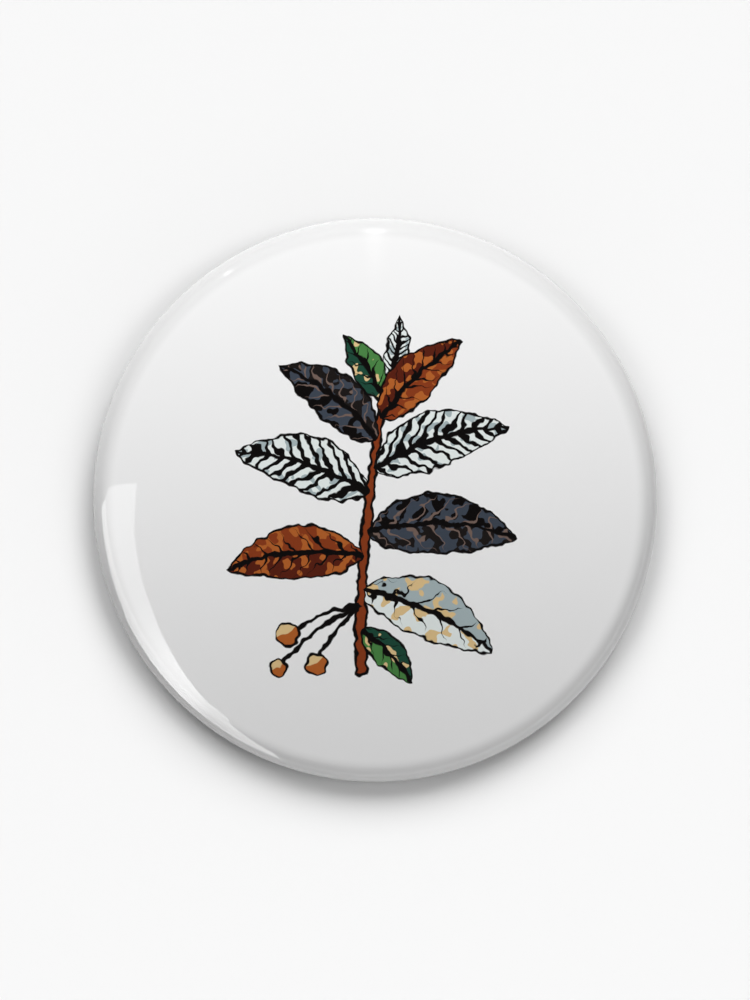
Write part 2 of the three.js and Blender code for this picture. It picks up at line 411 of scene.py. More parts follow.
def pressing_tree(name, material):
    """A closed sheet pressed over the badge's section, from a depth under the outside."""
    tree = ShapeTree(name)
    columns = tree.take("Columns", 720)
    height = tree.take("Height", badge_height)
    depth = tree.take("Depth", 0.0)
    thickness = tree.take("Thickness", FILM_AND_PAPER)
    pleats = tree.take("Pleats", 90)
    pleat_depth = tree.take("Pleat depth", 0.0)
    seed = tree.take("Seed", 3)

    points = 2 * rows + 2
    grid = tree.add("GeometryNodeMeshGrid", {"Vertices X": columns + 1, "Vertices Y": points})()
    count = tree.index("POINT")
    row = count % points
    inner = row > rows
    back = points - 1 - row
    step = row.smaller(back)
    angle = (count / points).math("FLOOR") / columns * (2 * math.pi)

    along, first = 0, 0
    for label, sizes in SECTION.items():
        share = ((step - first) / sizes["rows"]).clamped()
        if label == "Dome":
            share = share * (1 + ROWS_CROWD - ROWS_CROWD * share)
        along = along + share * travel(sizes)
        first += sizes["rows"]
    reach, drop, facing, shares = follow(tree, along, SECTION, depth + inner * thickness)

    round_x, round_y = cosine(angle), sine(angle)
    near = tree.vector(round_x, round_y, seed)
    wander = tree.noise(near, PLEAT_WANDER_SCALE) * PLEAT_WANDER
    weight = tree.noise(near, PLEAT_WEIGHT_SCALE)
    fold = abs((angle / (2 * math.pi) * pleats + wander).math("FRACT") - 0.5) * 2
    groove = (1 - fold) ** PLEAT_SHARPNESS * (PLEAT_LEAST + weight * PLEAT_CHANGE)
    sink = groove * pleat_depth * shares["Crimp"].eased() * (1 - inner)
    reach = reach - sink * sine(facing)
    rise = height - drop - sink * cosine(facing)
    place = tree.vector(reach * round_x, reach * round_y, rise)
    formed = tree.add("GeometryNodeSetPosition", {"Geometry": grid, "Position": place})()

    def on_map(centre, out):
        """A place on the UV map, out from the centre of a disc there."""
        place = tree.vector(centre + out * round_x, centre + out * round_y, 0)
        return tree.on_domain(place, "POINT", "FLOAT_VECTOR")

    inner_face = tree.index("FACE") % (points - 1) > rows - 0.5
    uv = tree.add("ShaderNodeMix", {
        "Factor_Float": tree.on_domain(inner_face, "FACE"),
        "A_Vector": on_map(0.5, along * (UV_REACH / flat_radius)),
        "B_Vector": on_map(UV_INNER_PLACE, back / (rows + 1) * UV_INNER_REACH),
    }, data_type="VECTOR")("Result_Vector")
    stored = tree.add("GeometryNodeStoreNamedAttribute", {
        "Geometry": formed, "Name": UV_NAME, "Value": uv,
    }, data_type="FLOAT2", domain="CORNER")()
    joined = tree.add("GeometryNodeMergeByDistance", {"Geometry": stored, "Distance": SEAM})()
    outwards = tree.add("GeometryNodeFlipFaces", {"Mesh": joined})()
    tree.finish(outwards, material)
    return tree


print(rows, "rows on each side of the sheet")

# %% [markdown]
# Tinplate is thin steel with a bright tin skin that keeps the fine grain of the rolls. The grain is
# a noise that is squeezed across the sheet and drawn out along it. It changes the roughness and not
# the colour, which is how rolled metal catches light in soft streaks. Scratches from the press are
# another noise, cut off so that only its peaks remain. Where the sheet was sheared the tin skin is
# gone, so its edges are a duller steel.

# %% Tinplate
GRAIN_FINE = 9000
GRAIN_STRETCH = 40
GRAIN_HEIGHT = 0.6
GRAIN_ROUGHNESS = 0.22
STAIN_SCALE = 160.0
STAIN_ROUGHNESS = 0.12
TIN_ROUGHNESS = 0.13
SCRATCH_STRETCH = (900, 60, 900)
SCRATCH_LEVEL = 0.71
SCRATCH_SHARPNESS = 12
SCRATCH_TONE = 0.5
SHEAR_STRETCH = (7000, 7000, 900)
SHEAR_ROUGHNESS = 0.3
TIN = linear("#d3d5d8")
TIN_SHADE = linear("#c2c5ca")
TIN_SCRATCH = linear("#8f9296")
CUT_STEEL = linear("#a9acb0")


def surface(name):
    """A new material with its tree and its Principled shader, ready for sums."""
    material = bpy.data.materials.new(name)
    material.use_nodes = True
    shader = material.node_tree.nodes["Principled BSDF"]
    return material, Tree(material.node_tree), shader


def streaks(tree, stretch, detail=2.0):
    """Noise that is squeezed or drawn out along each axis of the object."""
    place = tree.add("ShaderNodeMapping", {"Vector": tree.position(), "Scale": stretch})()
    return tree.noise(place, 1.0, detail)


tinplate, tree, shader = surface("tinplate")
grain = streaks(tree, (GRAIN_FINE, GRAIN_FINE / GRAIN_STRETCH, GRAIN_FINE))
stain = tree.noise(tree.position(), STAIN_SCALE, 3.0)
scratch = streaks(tree, SCRATCH_STRETCH, 1.0)
scratch = scratch.scaled(SCRATCH_SHARPNESS, -SCRATCH_SHARPNESS * SCRATCH_LEVEL, clamp=True)
tree.feed(shader, {
    "Base Color": tree.mix(scratch * SCRATCH_TONE, tree.mix(stain, TIN_SHADE, TIN), TIN_SCRATCH),
    "Metallic": 1.0,
    "Roughness": grain.scaled(GRAIN_ROUGHNESS, stain.scaled(STAIN_ROUGHNESS, TIN_ROUGHNESS)),
    "Normal": tree.bump(grain * GRAIN_HEIGHT - scratch, strength=0.25, distance=0.004 * MM),
})

cut_tinplate, tree, shader = surface("cut_tinplate")
shear = streaks(tree, SHEAR_STRETCH)
tree.feed(shader, {
    "Base Color": tree.mix(shear, CUT_STEEL, TIN),
    "Metallic": 1.0,
    "Roughness": shear.scaled(SHEAR_ROUGHNESS, SHEAR_ROUGHNESS),
    "Normal": tree.bump(shear, strength=0.5, distance=0.01 * MM),
})
print("grain lines about", round(1000 / GRAIN_FINE, 2), "mm apart")

# %% [markdown]
# The wire is brighter: nickel over spring steel, drawn smooth. Its tip was ground to a point on a
# wheel, which takes the plating off and leaves fine rings. A mask along the wire changes from one
# finish to the other, so a single material serves the whole pin.

# %% Nickel wire
NICKEL = linear("#dedbd4")
NICKEL_SHADE = linear("#c4c0b8")
GROUND_STEEL = linear("#b4b7bb")
GRIND_BLEND = 1.2 * MM
POINT_LENGTH = 4.5 * MM
DRAWING_STRETCH = (300, 5000, 5000)
DRAWING_HEIGHT = 0.3
NICKEL_ROUGHNESS = 0.12
RINGS_STRETCH = (16000, 400, 400)
RINGS_ROUGHNESS = 0.3

nickel, tree, shader = surface("nickel_wire")
tip_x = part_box("pin_arm")[1].x
x, _, _ = tree.parts(tree.position())
ground_part = ((x - (tip_x - POINT_LENGTH)) / GRIND_BLEND).eased()
drawing = streaks(tree, DRAWING_STRETCH)
rings = streaks(tree, RINGS_STRETCH, 1.0) * ground_part
plating = tree.mix(drawing, NICKEL_SHADE, NICKEL)
tree.feed(shader, {
    "Base Color": tree.mix(ground_part, plating, GROUND_STEEL),
    "Metallic": 1.0,
    "Roughness": drawing.scaled(NICKEL_ROUGHNESS, NICKEL_ROUGHNESS) + rings * RINGS_ROUGHNESS,
    "Normal": tree.bump(drawing * DRAWING_HEIGHT + rings, strength=0.3, distance=0.006 * MM),
})
print("ground from x =", round((tip_x - POINT_LENGTH) / MM, 1), "mm to the tip")

# %% [markdown]
# The print is ink on white paper, seen through the film: a sprig of leaves drawn like a woodcut, in
# flat tones with a heavy black outline and veins that swell towards the midrib. It needs no image
# file, because each shape is a sum. A leaf is all that lies within a half-width of its midrib, its
# outline is the outermost part of that, and its veins are a slanted zigzag along it.
#
# The sums run in millimetres on the flat disc, from the UV map. One soft noise moves the drawing a
# little, as a hand would, and a second one gives the blotches and the changing weight of the pen.

# %% Inks and the flat sheet
INK = linear("#0d0a0a")
WHITE = linear("#e9f0ee")
MIST = linear("#a9b8bb")
RUSSET = linear("#8a3c1c")
UMBER = linear("#5a2113")
COPPER = linear("#b4622c")
TAN = linear("#e2c48f")
SLATE = linear("#3f4753")
COAL = linear("#1d1918")
LEAF_GREEN = linear("#4c8547")
PINE = linear("#1f4a3a")
SMOKE = linear("#75625a")
PAPER_WHITE = (0.93, 0.93, 0.93, 1)

INK_EDGE = 0.08
HAND_WOBBLE = 1.0
WOBBLE_SCALE = 0.8
BLOTCH_SCALE = 0.75
BLOTCH_CONTRAST = 1.9
PEN_WEIGHT = 0.13
PEN_CHANGE = 0.3

paper, tree, shader = surface("print_under_film")
uv = tree.add("ShaderNodeUVMap", uv_map=UV_NAME)()
mm_per_uv = flat_radius / MM / UV_REACH
flat = tree.vector_sum(uv, (mm_per_uv,) * 3, (-mm_per_uv / 2, -mm_per_uv / 2, 0))
wobble = tree.add("ShaderNodeTexNoise", {"Vector": flat, "Scale": WOBBLE_SCALE, "Detail": 1.2})
drawn = tree.vector_sum(wobble("Color"), (HAND_WOBBLE,) * 3, flat)
half_wobble = (-HAND_WOBBLE / 2,) * 3
drawn = tree.add("ShaderNodeVectorMath", {0: drawn, 1: half_wobble}, operation="ADD")()
blotch = tree.noise(flat, BLOTCH_SCALE, 1.0).scaled(BLOTCH_CONTRAST, 0.5 - BLOTCH_CONTRAST / 2)
pen = blotch.scaled(PEN_CHANGE, PEN_WEIGHT)
print(f"{mm_per_uv:.1f} mm of paper to one unit of the UV map")

# %% [markdown]
# Leaf, stalk and berry make the print. For each one the sums work out how deep a point of the sheet
# lies inside the shape, in millimetres. Where that is less than the weight of the pen the ink is
# black, and further in comes the shape's own tone. Each function lays its shape over a canvas and
# hands the canvas back, so the shapes stack like cut paper.

# %% Shapes of the woodcut
LEAF_FULLNESS = 0.75
LEAF_TAPER = 0.5
VEIN_WANDER = 0.7
VEIN_SWELL = 0.17
VEIN_WEIGHT = 0.05
RIB_HALF_WIDTH = 0.3
RIB_TAPER = 0.12
PATCH_SHARPNESS = 3
STALK_TAPER = 0.45
STALK_FOOT = 1.15
BARK = 0.3
BERRY_SHADE = 0.3
BERRY_SLANT = 0.6


def cover(depth):
    """How much ink lies at a depth inside an edge, in mm."""
    return depth.scaled(1 / INK_EDGE, 0.5, clamp=True)


def along_line(tree, start, end, bend):
    """The share of the way along a bowed line, the distance beside it, and its length in mm."""
    run = Vector(end) - Vector(start)
    local = tree.add("ShaderNodeMapping", {
        "Vector": drawn, "Location": (*start, 0), "Rotation": (0, 0, math.atan2(run.y, run.x)),
        "Scale": (run.length,) * 3,
    }, vector_type="TEXTURE")()
    along, beside, _ = tree.parts(local)
    swell = along * (1 - along)
    return along, swell.scaled(bend, beside), swell, run.length


def leaf(tree, canvas, start, end, width, bend, look):
    """Draws a leaf on the canvas. Its width and its bend are shares of its length."""
    light, dark, patch, patch_level, vein_ink, vein_share, veins, slant = look
    along, beside, swell, length = along_line(tree, start, end, bend)
    away = abs(beside)
    widest = along.scaled(-LEAF_TAPER * width, (1 + LEAF_TAPER / 2) * width)
    half = (4 * swell) ** LEAF_FULLNESS * widest
    depth = (half - away) * length
    place = away.scaled(-slant, along.scaled(veins, blotch * VEIN_WANDER))
    gap = (away / half).scaled(-VEIN_SWELL, place.math("PINGPONG", 0.5))
    spacing = length / veins / INK_EDGE
    vein = gap.scaled(spacing, 0.5 - spacing * (vein_share / 2 - VEIN_WEIGHT), clamp=True)
    rib = away.scaled(-length / INK_EDGE, RIB_HALF_WIDTH / INK_EDGE + 0.5)
    rib = along.scaled(-RIB_TAPER / INK_EDGE, rib, clamp=True)
    sharp = PATCH_SHARPNESS / INK_EDGE
    tone = tree.mix(cover(beside * length), light, dark)
    tone = tree.mix(blotch.scaled(sharp, 0.5 - patch_level * sharp, clamp=True), tone, patch)
    tone = tree.mix(vein, tone, vein_ink)
    tone = tree.mix(rib, tone, INK)
    tone = tree.mix(cover(pen - depth), tone, INK)
    return tree.mix(depth.scaled(1 / INK_EDGE, 0, clamp=True), canvas, tone)


def stalk(tree, canvas, start, end, bend, thick, core=None):
    """Draws a tapering stalk, with a core of another ink if one is given."""
    along, beside, _, length = along_line(tree, start, end, bend)
    room = along.scaled(-STALK_TAPER * thick, STALK_FOOT * thick) - abs(beside) * length
    inside = room.smaller(along.smaller(1 - along) * length)
    canvas = tree.mix(cover(inside), canvas, INK)
    return tree.mix(cover(inside - BARK), canvas, core) if core else canvas


def berry(tree, canvas, centre, radius):
    """Draws a round berry, lit from the upper left."""
    x, y, _ = tree.parts(drawn)
    x, y = x - centre[0], y - centre[1]
    out = (x * x + y * y).math("SQRT")
    tone = tree.mix(cover(out.scaled(BERRY_SHADE, x.scaled(BERRY_SLANT, -y))), TAN, COPPER)
    tone = tree.mix(cover(pen + out - radius), tone, INK)
    return tree.mix(cover(radius - out), canvas, tone)


print("an inked edge fades over", INK_EDGE, "mm")

# %% [markdown]
# The sprig is laid out like a plant: one bowed stem, and leaves that start from points on it. A leaf
# is given by its height on the stem, its direction in degrees, its length, its width and bend, and
# the inks it's drawn in. Later shapes cover earlier ones.

# %% Lay out the sprig
STEM_FOOT = Vector((-1.4, -18.0))
STEM_TOP = Vector((1.6, 13.4))
STEM_BOW = -0.12
STEM_HALF_WIDTH = 0.62

ZEBRA = (WHITE, WHITE, MIST, 0.64, INK, 0.5, 11, 10)
RUST = (RUSSET, UMBER, COPPER, 0.55, INK, 0.8, 9, 8)
NIGHT = (COAL, INK, SLATE, 0.5, SMOKE, 0.8, 8, 8)
BONE = (WHITE, MIST, TAN, 0.6, INK, 0.84, 6, 6)
FERN = (LEAF_GREEN, PINE, TAN, 0.7, INK, 0.82, 6, 6)

LEAVES = [
    (0.89, 122, 8.0, 0.22, 0.25, FERN),
    (0.96, 80, 6.8, 0.20, 0.25, ZEBRA),
    (0.83, 44, 11.8, 0.20, -0.25, RUST),
    (0.76, 142, 12.8, 0.20, 0.30, NIGHT),
    (0.67, 17, 14.6, 0.20, -0.30, ZEBRA),
    (0.59, 163, 14.6, 0.20, 0.30, ZEBRA),
    (0.47, -3, 15.6, 0.20, -0.30, NIGHT),
    (0.39, 186, 14.2, 0.20, 0.30, RUST),
    (0.28, -26, 15.0, 0.20, -0.30, BONE),
    (0.15, -46, 7.6, 0.22, -0.20, FERN),
]
BERRIES = [(-8.9, -13.7, 1.35), (-6.0, -16.8, 1.25), (-9.9, -17.2, 0.95)]
BERRIES_FROM = 0.23
BERRY_STALK_BOW = 0.25
BERRY_STALK_HALF_WIDTH = 0.24


def on_stem(share):
    """A point of the bowed stem."""
    run = STEM_TOP - STEM_FOOT
    return STEM_FOOT + run * share - Vector((-run.y, run.x)) * STEM_BOW * share * (1 - share)


canvas = stalk(tree, PAPER_WHITE, STEM_FOOT, STEM_TOP, STEM_BOW, STEM_HALF_WIDTH, RUSSET)
for x, y, radius in BERRIES:
    start = on_stem(BERRIES_FROM)
    canvas = stalk(tree, canvas, start, (x, y), BERRY_STALK_BOW, BERRY_STALK_HALF_WIDTH)
for x, y, radius in BERRIES:
    canvas = berry(tree, canvas, (x, y), radius)
for share, turn, length, width, bend, look in LEAVES:
    start = on_stem(share)
    end = start + pointing(turn) * length
    canvas = leaf(tree, canvas, start, end, width, bend, look)
print(len(tree.group.nodes), "nodes draw it")

# %% [markdown]
# Film and paper look like one thing, white with a hard gloss, so one shader gives both, with the
# paper as its rough base and the film as its clear coat. Where they turn over the rim, the paper's
# colour is mixed towards black: painted shade that makes the soft grey ring just inside the edge.

# %% Paper under film
RIM_STARTS = 26.8
RIM_BLEND = 2.4
RIM_SHADE = 0.41
TOOTH_SCALE = 9.0
PAPER_ROUGHNESS = 0.4
TOOTH_ROUGHNESS = 0.2

out = tree.add("ShaderNodeVectorMath", {0: flat}, operation="LENGTH")("Value")
# Painted shade: the paper's colour darkens towards black as it turns over the rim.
painted_rim_shade = ((out - RIM_STARTS) / RIM_BLEND).eased() * RIM_SHADE
tooth = tree.noise(flat, TOOTH_SCALE, 3.0)
tree.feed(shader, {
    "Base Color": tree.mix(painted_rim_shade, canvas, (0, 0, 0, 1)),
    "Roughness": tooth.scaled(TOOTH_ROUGHNESS, PAPER_ROUGHNESS),
    "Normal": tree.bump(tooth, strength=0.08, distance=0.02 * MM),
    "Specular IOR Level": 0.0,
    "Coat Weight": 1.0,
    "Coat Roughness": 0.02,
})
print("the paper greys from", RIM_STARTS, "mm out")

# %% [markdown]
# The face first, as film and paper in one skin, then the steel shell inside it.

# %% Press the face and the shell
face_tree = pressing_tree("pressed face", paper)
printed_face = grown("printed_face", face_tree, {"Pleat depth": 0.1 * MM})
shell_tree = pressing_tree("pressed shell", tinplate)
shell_sizes = {"Columns": 240, "Depth": SHELL_DEPTH, "Thickness": SHELL_THICKNESS}
steel_shell = grown("steel_shell", shell_tree, shell_sizes)

# %% [markdown]
# Film and paper are two solids but one skin to the eye, so the face takes the place of both.

# %% Fit the pieces to the frame
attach(printed_face, "badge")
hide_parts("clear_film", "printed_paper")
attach(steel_shell, "badge")
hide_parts("front_shell")
print("face and shell fitted")

# %% [markdown]
# The back is one piece of tinplate, stamped in a few strokes: a dished disc whose flange sits in the
# curl of the shell, two bridges pushed out over the pin's fixed leg, and a tab cut free on three
# sides and rolled over to catch the pin. Sheet metal is best built as a single surface with open
# edges, because Solidify then gives all of it one true thickness, and its edges look sheared.
#
# The flat middle has windows where the bridges and the tab came from. A triangulation that keeps
# given edges leaves them open, so that each bridge bends out of the plate without a seam.

# %% Bent lines for sheet metal
WIRE_RADIUS = 0.5 * MM
PLATE_THICKNESS = 0.25 * MM
FIT_GAP = 0.05 * MM
BEND_STEPS = 6


def bent_line(corners):
    """A line through corners given as (a, b) or, where it bends on an arc, (a, b, radius)."""
    line = []
    for i, (a, b, *arc) in enumerate(corners):
        corner = Vector((a, b))
        if not arc:
            line.append(corner)
            continue
        radius = arc[0]
        before = (corner - Vector(corners[i - 1][:2])).normalized()
        after = (Vector(corners[i + 1][:2]) - corner).normalized()
        turn = math.atan2(before.x * after.y - before.y * after.x, before.dot(after))
        start = corner - before * radius * math.tan(abs(turn) / 2)
        centre = start + Vector((-before.y, before.x)) * math.copysign(radius, turn)
        for step in range(BEND_STEPS + 1):
            spoke = start - centre
            spoke.rotate(Matrix.Rotation(turn * step / BEND_STEPS, 2))
            line.append(centre + spoke)
    return line


def lengths(line):
    """The distance along a line at each of its points."""
    along = [0.0]
    for before, after in zip(line, line[1:]):
        along.append(along[-1] + (after - before).length)
    return along


leg_low, leg_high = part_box("pin_leg")
arm_low, arm_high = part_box("pin_arm")
plate_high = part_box("back_plate")[1]
leg_x = leg_high.x - WIRE_RADIUS
leg_z = (leg_low.z + leg_high.z) / 2
arm_y = (arm_low.y + arm_high.y) / 2
arm_z = (arm_low.z + arm_high.z) / 2
floor_z = plate_high.z - PLATE_THICKNESS
print(f"leg at x {leg_x / MM:.2f}, arm at y {arm_y / MM:.2f}, plate at z {floor_z / MM:.2f} mm")

# %% [markdown]
# Three bent lines describe the stamping. The dish is drawn as distance from the axis against height,
# the bridge from the side, and the catch as one looks along the pin. Bridge and catch take their
# heights from the wire that they clear.

# %% Lines of the stamping
DISH_FLAT = 22.5 * MM
FLOOR_RADIUS = 24 * MM
LEDGE_RADIUS = 25.5 * MM
LEDGE_Z = 0.98 * MM
FLANGE_Z = 0.7 * MM
DISH_BEND = 0.6 * MM
FLANGE_BEND = 0.12 * MM
flange_radius = plate_high.x - PLATE_THICKNESS

dish_line = bent_line([
    (DISH_FLAT, floor_z),
    (FLOOR_RADIUS, floor_z, DISH_BEND),
    (LEDGE_RADIUS, LEDGE_Z, DISH_BEND),
    (flange_radius, LEDGE_Z, FLANGE_BEND),
    (flange_radius, FLANGE_Z),
])

STRAP_STARTS_Y = (6.6 * MM, 10.6 * MM)
STRAP_WIDTH = 2.2 * MM
STRAP_HALF_TOP = 0.6 * MM
STRAP_HALF_SPAN = 1.6 * MM
STRAP_BEND = 0.35 * MM
STRAP_ROOT_BEND = 0.2 * MM
strap_z = leg_z - WIRE_RADIUS - FIT_GAP - PLATE_THICKNESS

strap_line = bent_line([
    (leg_x - 2 * STRAP_HALF_SPAN, floor_z),
    (leg_x - STRAP_HALF_SPAN, floor_z, STRAP_ROOT_BEND),
    (leg_x - STRAP_HALF_TOP, strap_z, STRAP_BEND),
    (leg_x + STRAP_HALF_TOP, strap_z, STRAP_BEND),
    (leg_x + STRAP_HALF_SPAN, floor_z, STRAP_ROOT_BEND),
    (leg_x + 2 * STRAP_HALF_SPAN, floor_z),
])[1:-1]

CATCH_WIDTH = 3.5 * MM
CATCH_TO_TIP = 4.5 * MM
CATCH_HINGE_BEND = 0.2 * MM
CATCH_BEND = 0.45 * MM
CATCH_MOUTH_REACH = 0.75 * MM
CATCH_MOUTH_BEND = 0.4 * MM
CATCH_FLARE = 0.13 * MM
CATCH_CORNER = 0.7 * MM
RUN_IN = 1 * MM
catch_high_x = tip_x - CATCH_TO_TIP
catch_low_x = catch_high_x - CATCH_WIDTH
wall_y = arm_y + WIRE_RADIUS + FIT_GAP
catch_z = arm_z - WIRE_RADIUS - FIT_GAP
mouth_y = arm_y - CATCH_MOUTH_REACH

catch_line = bent_line([
    (wall_y - RUN_IN, floor_z),
    (wall_y, floor_z, CATCH_HINGE_BEND),
    (wall_y, catch_z, CATCH_BEND),
    (mouth_y, catch_z, CATCH_MOUTH_BEND),
    (mouth_y - 2 * CATCH_FLARE, catch_z - CATCH_FLARE),
])[1:]
catch_length = lengths(catch_line)[-1]
print(f"the catch takes {catch_length / MM:.2f} mm of sheet")

# %% [markdown]
# The tab's free end and the far end of its window were cut by one stroke of the die, so both have
# the same rounded corners, and one rule for a quarter circle makes both outlines.

# %% The stamped surface
RING_COLUMNS = 240
CORNER_STEPS = 5
INSIDE_ONLY = 1
TOUCHING = 1e-5
WELD = 0.002 * MM
NUDGE = 1e-9

corner_turns = [QUARTER * i / CORNER_STEPS for i in range(CORNER_STEPS + 1)]
corner_ends = [CATCH_CORNER * (1 - math.cos(turn)) for turn in corner_turns]


def corner_inset(to_end):
    """How much of its width a rounded end has lost at a distance from that end."""
    short = max(CATCH_CORNER - to_end, 0)
    return CATCH_CORNER - math.sqrt(CATCH_CORNER ** 2 - short ** 2)


def catch_rows():
    """Rows across the tab of the catch, closer together where its corners are rounded."""
    along = lengths(catch_line)
    made = []
    for distance in sorted({*along, *[catch_length - to_end for to_end in corner_ends]}):
        i = max(j for j, a in enumerate(along[:-1]) if a <= distance + NUDGE)
        share = (distance - along[i]) / (along[i + 1] - along[i])
        y, z = catch_line[i].lerp(catch_line[i + 1], share)
        inset = corner_inset(catch_length - distance)
        made.append([(catch_low_x + inset, y, z), (catch_high_x - inset, y, z)])
    return made


def window(x0, x1, y0, y1, rounded=False):
    """The outline of a window, with its two far corners rounded if it held the tab."""
    if not rounded:
        return [Vector(p) for p in ((x0, y0), (x1, y0), (x1, y1), (x0, y1))]
    right, left = [Vector((x1, y0))], [Vector((x0, y0))]
    for to_end in reversed(corner_ends):
        inset = corner_inset(to_end)
        right.append(Vector((x1 - inset, y1 - to_end)))
        left.append(Vector((x0 + inset, y1 - to_end)))
    return right + left[::-1]


def add_surface(work, points, faces):
    """Adds points and faces to a mesh under work."""
    made = [work.verts.new(point) for point in points]
    for face in faces:
        work.faces.new([made[i] for i in face])


def add_strip(work, rows):
    """Joins rows of points, all of the same length, into a strip of faces."""
    wide = len(rows[0])
    faces = [
        (r * wide + c, r * wide + c + 1, (r + 1) * wide + c + 1, (r + 1) * wide + c)
        for r in range(len(rows) - 1) for c in range(wide - 1)
    ]
    add_surface(work, [point for row in rows for point in row], faces)


def around(radius, z):
    """A closed ring of points, first and last alike."""
    angles = [2 * math.pi * i / RING_COLUMNS for i in range(RING_COLUMNS + 1)]
    return [(radius * math.cos(a), radius * math.sin(a), z) for a in angles]


work = bmesh.new()
add_strip(work, [around(radius, z) for radius, z in dish_line])
for start_y in STRAP_STARTS_Y:
    add_strip(work, [[(x, start_y, z), (x, start_y + STRAP_WIDTH, z)] for x, z in strap_line])
add_strip(work, catch_rows())

catch_root_y = catch_line[0].x
outlines = [
    [Vector(p[:2]) for p in around(DISH_FLAT, 0)[:-1]],
    *[window(strap_line[0].x, strap_line[-1].x, y, y + STRAP_WIDTH) for y in STRAP_STARTS_Y],
    window(catch_low_x, catch_high_x, catch_root_y, catch_root_y + catch_length, rounded=True),
]
points, loops = [], []
for outline in outlines:
    loops.append([len(points) + i for i in range(len(outline))])
    points.extend(point / MM for point in outline)
spots, _, triangles, _, _, inside = geometry.delaunay_2d_cdt(points, [], loops, INSIDE_ONLY, TOUCHING)
solid = [triangle for triangle, of in zip(triangles, inside) if of == [0]]
add_surface(work, [(x * MM, y * MM, floor_z) for x, y in spots], solid)

bmesh.ops.remove_doubles(work, verts=work.verts, dist=WELD)
bmesh.ops.recalc_face_normals(work, faces=work.faces)
middle = min(work.faces, key=lambda face: face.calc_center_median().length)
if middle.normal.z > 0:
    bmesh.ops.reverse_faces(work, faces=work.faces)
plate_mesh = bpy.data.meshes.new("stamped_back")
work.to_mesh(plate_mesh)
work.free()
stamped_back = piece("stamped_back", plate_mesh)
print("open surface:", len(plate_mesh.polygons), "faces")

# %% [markdown]
# Solidify grows the skin to the thickness of the sheet and gives the rim of every opening a material
# of its own, because a cut edge shows bare steel. A narrow bevel rounds those edges, and the thin
# bright line it makes is what tells the eye that this is metal.

# %% Give the sheet its thickness
CUT_EDGE_ROUNDING = 0.03 * MM
CUT_EDGE_ANGLE = 50
SHEET_CREASE = 35

thickness = stamped_back.modifiers.new("thickness", "SOLIDIFY")
thickness.thickness = PLATE_THICKNESS
thickness.offset = -1
thickness.use_even_offset = True
thickness.use_quality_normals = True
thickness.material_offset_rim = 1
rounding = stamped_back.modifiers.new("rounding", "BEVEL")
rounding.width = CUT_EDGE_ROUNDING
rounding.segments = 2
rounding.limit_method = "ANGLE"
rounding.angle_limit = math.radians(CUT_EDGE_ANGLE)
plate_mesh.materials.append(tinplate)
plate_mesh.materials.append(cut_tinplate)
settled(stamped_back)


def soften(made, degrees):
    """Smooth shading that keeps edges sharper than an angle crisp."""
    made.data.shade_smooth()
    made.data.set_sharp_from_angle(angle=math.radians(degrees))


soften(stamped_back, SHEET_CREASE)
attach(stamped_back, "badge")
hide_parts("back_plate")

# %% [markdown]
# The pin is one length of spring wire. It goes along a hook, round a corner, under the bridges, round
# three quarters of a loop that drops it by one wire, and out along the arm to a ground point. A chain
# of straights and bends lays it out in plan, as one pressed the face. The tree makes any stretch of
# it, so leg, loop and arm are three cuts of one wire whose ends meet exactly.

# %% The wire tree
HOOK = 1.2 * MM
LEG_CORNER = 1.0 * MM
LEG_STRAIGHT = 10.3 * MM
LOOP_RADIUS = 2.0 * MM
POINT_RADIUS = 0.06 * MM
POINT_BULGE = 0.25
WIRE_CREASE = 60
loop_x = leg_x - LOOP_RADIUS
loop_y = arm_y - LOOP_RADIUS

WIRE = {
    "Hook": {"length": HOOK},
    "Corner": {"radius": LEG_CORNER, "angle": -QUARTER},
    "Leg": {"length": LEG_STRAIGHT},
    "Loop": {"radius": LOOP_RADIUS, "angle": -3 * QUARTER},
    "Arm": {"length": tip_x - loop_x},
}
loop_start = HOOK + LEG_CORNER * QUARTER + LEG_STRAIGHT
loop_end = loop_start + LOOP_RADIUS * 3 * QUARTER
wire_length = loop_end + WIRE["Arm"]["length"]


def wire_tree(name, material):
    """The pin's wire between two distances along it."""
    tree = ShapeTree(name)
    steps = tree.take("Steps", 120)
    start = tree.take("From", 0.0)
    end = tree.take("To", wire_length)
    radius = tree.take("Wire radius", WIRE_RADIUS)
    point = tree.take("Point length", POINT_LENGTH)
    tip = tree.take("Point radius", POINT_RADIUS)
    sides = tree.take("Sides", 32)

    line = tree.add("GeometryNodeCurvePrimitiveLine")()
    evenly = {"Curve": line, "Count": steps + 1}
    beads = tree.add("GeometryNodeResampleCurve", evenly, mode="COUNT")()
    along = start + (end - start) * tree.index("POINT") / steps
    forward, aside, _, shares = follow(tree, along, WIRE)
    height = leg_z + (arm_z - leg_z) * shares["Loop"].eased()
    hook_end_x = leg_x - LEG_CORNER - HOOK
    hook_y = loop_y + LEG_STRAIGHT + LEG_CORNER
    place = tree.vector(hook_end_x + forward, hook_y + aside, height)
    laid = tree.add("GeometryNodeSetPosition", {"Geometry": beads, "Position": place})()
    upright = tree.add("GeometryNodeSetCurveNormal", {"Curve": laid}, mode="Z_UP")()

    left = ((wire_length - along) / point).clamped()
    ground = tip + (radius - tip) * left * (1 + POINT_BULGE - POINT_BULGE * left)
    ring = tree.add("GeometryNodeCurvePrimitiveCircle", {"Resolution": sides, "Radius": 1.0})()
    skin = tree.add("GeometryNodeCurveToMesh", {
        "Curve": upright, "Profile Curve": ring, "Scale": ground, "Fill Caps": True,
    })()
    tree.finish(skin, material)
    return tree


